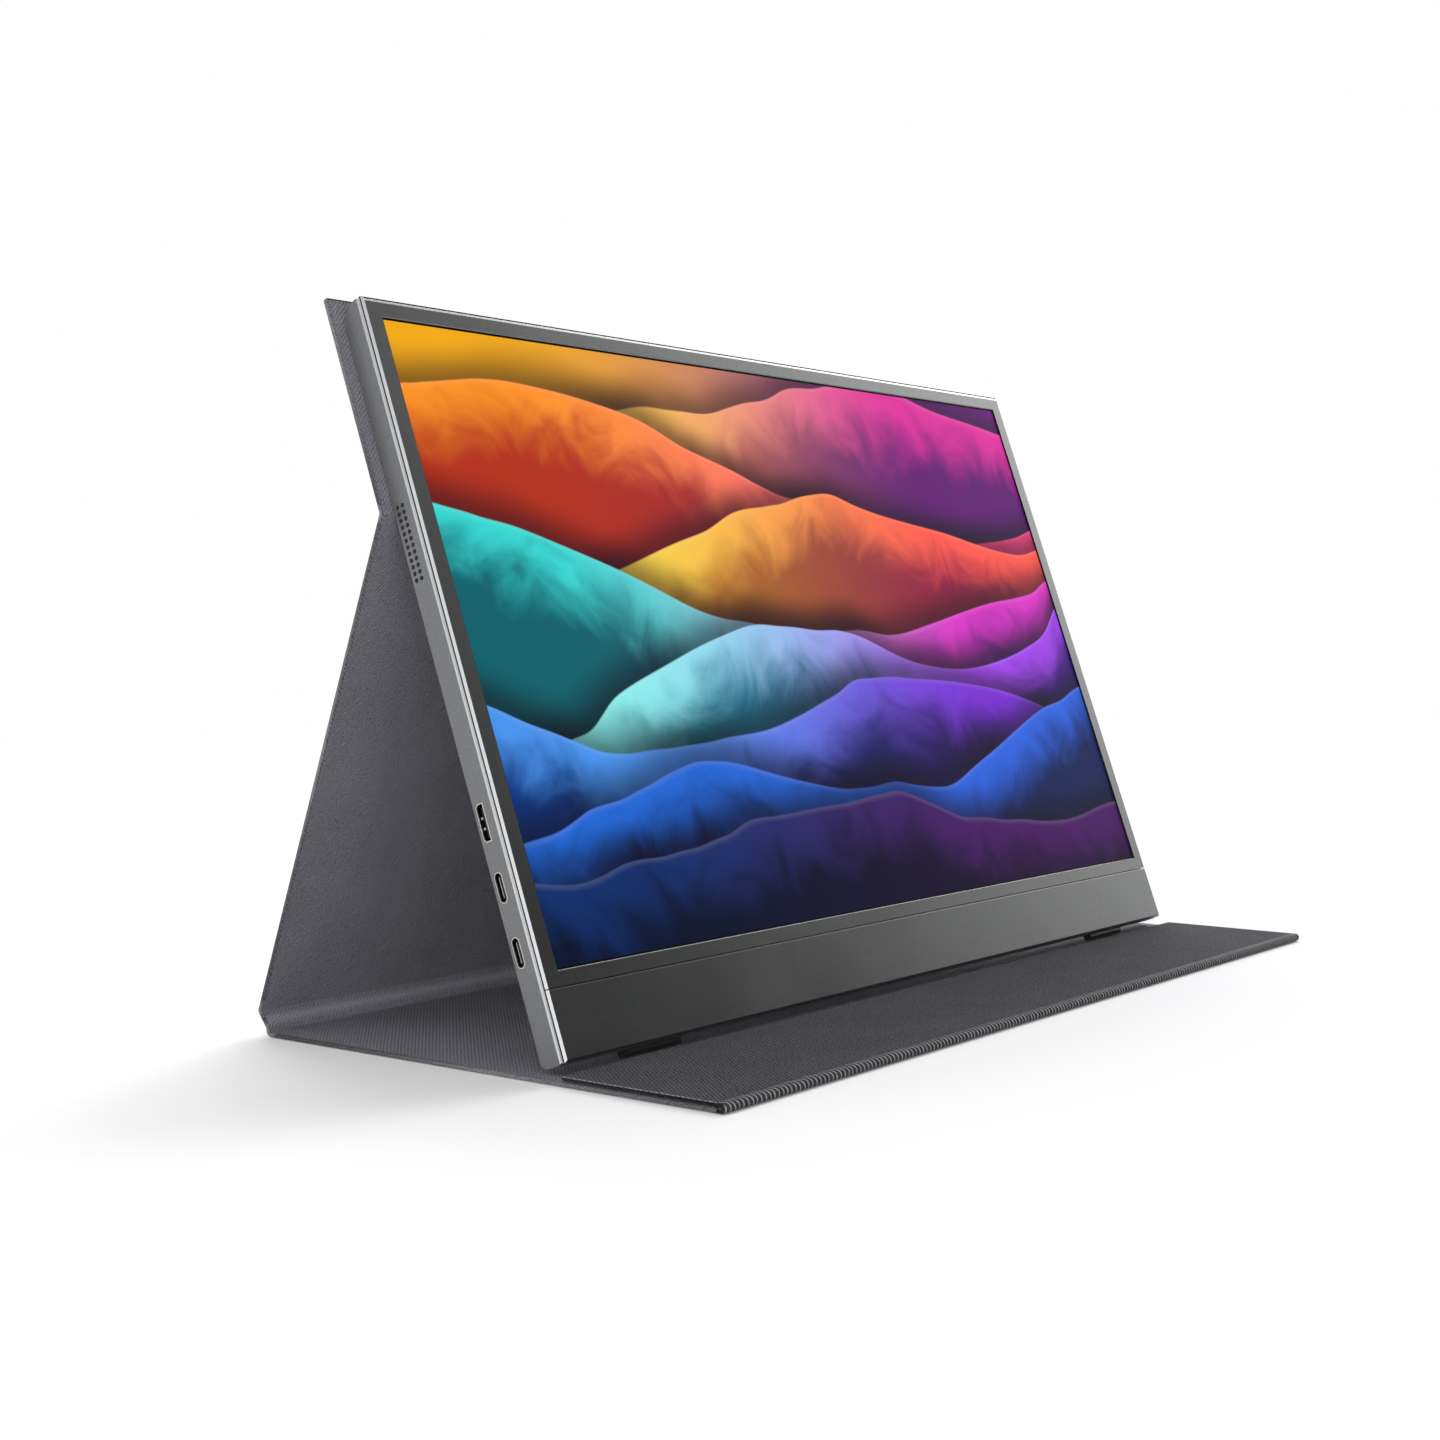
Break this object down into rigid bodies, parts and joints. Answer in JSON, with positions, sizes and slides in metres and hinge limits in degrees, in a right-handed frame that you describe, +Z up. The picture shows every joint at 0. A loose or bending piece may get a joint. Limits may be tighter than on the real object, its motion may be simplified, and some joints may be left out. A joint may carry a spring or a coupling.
{
  "type": "portable monitor with folding stand cover",
  "caption": "Thin flat portable monitor held upright at a lean by a folding fabric cover whose panels form a triangular desk stand.",
  "frame": {"origin": "on the desk, under the middle of the propped-up stand", "axes": "+X along the screen's width, +Y towards the back, +Z up; the screen faces -Y"},
  "size_m": [0.3662, 0.1772, 0.2175],
  "materials": {
    "cover_fabric": "woven",
    "fold_fabric": "ribbed",
    "cover_lining": "woven",
    "cover_board": "plain",
    "magnet": "plated",
    "shell_aluminium": "fine blasted, anodised",
    "bezel_aluminium": "fine blasted, anodised",
    "black_tape": "matt",
    "foot_rubber": "matt",
    "screen": "lit picture under an anti-glare film",
    "backlight_film": "satin",
    "light_guide": "clear",
    "led": "plain",
    "tray_steel": "rolled",
    "flex": "plain",
    "circuit_board": "solder mask",
    "chip": "moulded",
    "thermal_pad": "soft",
    "cable": "plain",
    "port_steel": "nickel plated",
    "black_plastic": "moulded",
    "switch_metal": "plain",
    "gauze": "fine mesh",
    "screw_steel": "plated",
    "button_aluminium": "anodised",
    "carrier_plastic": "moulded",
    "dial_plastic": "moulded, notched"
  },
  "bodies": {
    "base": {"base_fabric": "cover_fabric", "base_board": "cover_board", "base_lining": "cover_lining", "base_fold_strip": "fold_fabric", "front_fold_strip": "fold_fabric"},
    "flap": {"flap_fabric": "cover_fabric", "flap_board": "cover_board", "flap_lining": "cover_lining", "closing_magnets": "magnet"},
    "spine": {"spine_fabric": "cover_fabric", "spine_board": "cover_board", "spine_lining": "cover_lining"},
    "leg": {"leg_fabric": "cover_fabric", "leg_board": "cover_board", "leg_lining": "cover_lining", "leg_fold_strip": "fold_fabric", "back_fold_strip": "fold_fabric"},
    "back_panel": {"back_panel_fabric": "cover_fabric", "back_panel_board": "cover_board", "back_panel_lining": "cover_lining", "cover_magnets": "magnet"},
    "monitor": {"rear_shell": "shell_aluminium", "front_bezel": "bezel_aluminium", "chin_plate": "bezel_aluminium", "bezel_tape": "black_tape", "rubber_feet": "foot_rubber", "lcd_glass": "screen", "diffuser_films": "backlight_film", "light_guide": "light_guide", "led_bar": "led", "reflector_sheet": "backlight_film", "backlight_tray": "tray_steel", "lcd_flex_tails": "flex", "panel_driver_board": "circuit_board", "main_board": "circuit_board", "scaler_chip": "chip", "thermal_pad": "thermal_pad", "board_components": "chip", "display_cable": "cable", "button_flex": "flex", "speaker_leads": "cable", "usb_c_port_lower": "port_steel", "usb_c_port_upper": "port_steel", "usb_c_tongues": "black_plastic", "mini_hdmi_port": "port_steel", "mini_hdmi_tongue": "black_plastic", "audio_jack": "black_plastic", "button_board": "circuit_board", "power_switch": "switch_metal", "jog_switch": "black_plastic", "speaker_left": "black_plastic", "speaker_right": "black_plastic", "speaker_gauze": "gauze", "shell_magnets": "magnet", "panel_screws": "screw_steel", "board_screws": "screw_steel"},
    "power_button": {"power_button": "button_aluminium"},
    "dial_carrier": {"dial_carrier": "carrier_plastic"},
    "menu_dial": {"menu_dial": "dial_plastic"}
  },
  "joints": [
    {"name": "base_fold", "type": "hinge", "parent": "base", "child": "spine", "pos_m": [0, 0.08432, 0.00065], "axis": [1, 0, 0], "range_deg": [-60.8, 0]},
    {"name": "leg_fold", "type": "hinge", "parent": "spine", "child": "leg", "pos_m": [0, 0.08797, 0.00732], "axis": [1, 0, 0], "range_deg": [-48.3, 0]},
    {"name": "back_fold", "type": "hinge", "parent": "leg", "child": "back_panel", "pos_m": [0, 0.03411, 0.15487], "axis": [1, 0, 0], "range_deg": [0, 39.7]},
    {"name": "front_fold", "type": "hinge", "parent": "base", "child": "flap", "pos_m": [0, -0.08728, 0.00135], "axis": [1, 0, 0], "range_deg": [0, 180]},
    {"name": "monitor_release", "type": "slide", "parent": "back_panel", "child": "monitor", "axis": [0, 0.342, 0.9397], "range_m": [0, 0.068]},
    {"name": "power_press", "type": "slide", "parent": "monitor", "child": "power_button", "axis": [-1, 0, 0], "range_m": [0, 0.0004], "stiffness_N_per_m": 2000},
    {"name": "dial_press", "type": "slide", "parent": "monitor", "child": "dial_carrier", "axis": [-1, 0, 0], "range_m": [0, 0.0005], "stiffness_N_per_m": 2000},
    {"name": "dial_roll", "type": "hinge", "parent": "dial_carrier", "child": "menu_dial", "pos_m": [0.17335, -0.01256, 0.03777], "axis": [0, 0.9397, -0.342], "range_deg": [-12, 12], "stiffness_Nm_per_rad": 0.01}
  ],
  "couplings": [
    {"joint": "back_fold", "follows": "leg_fold", "ratio": -0.82}
  ]
}
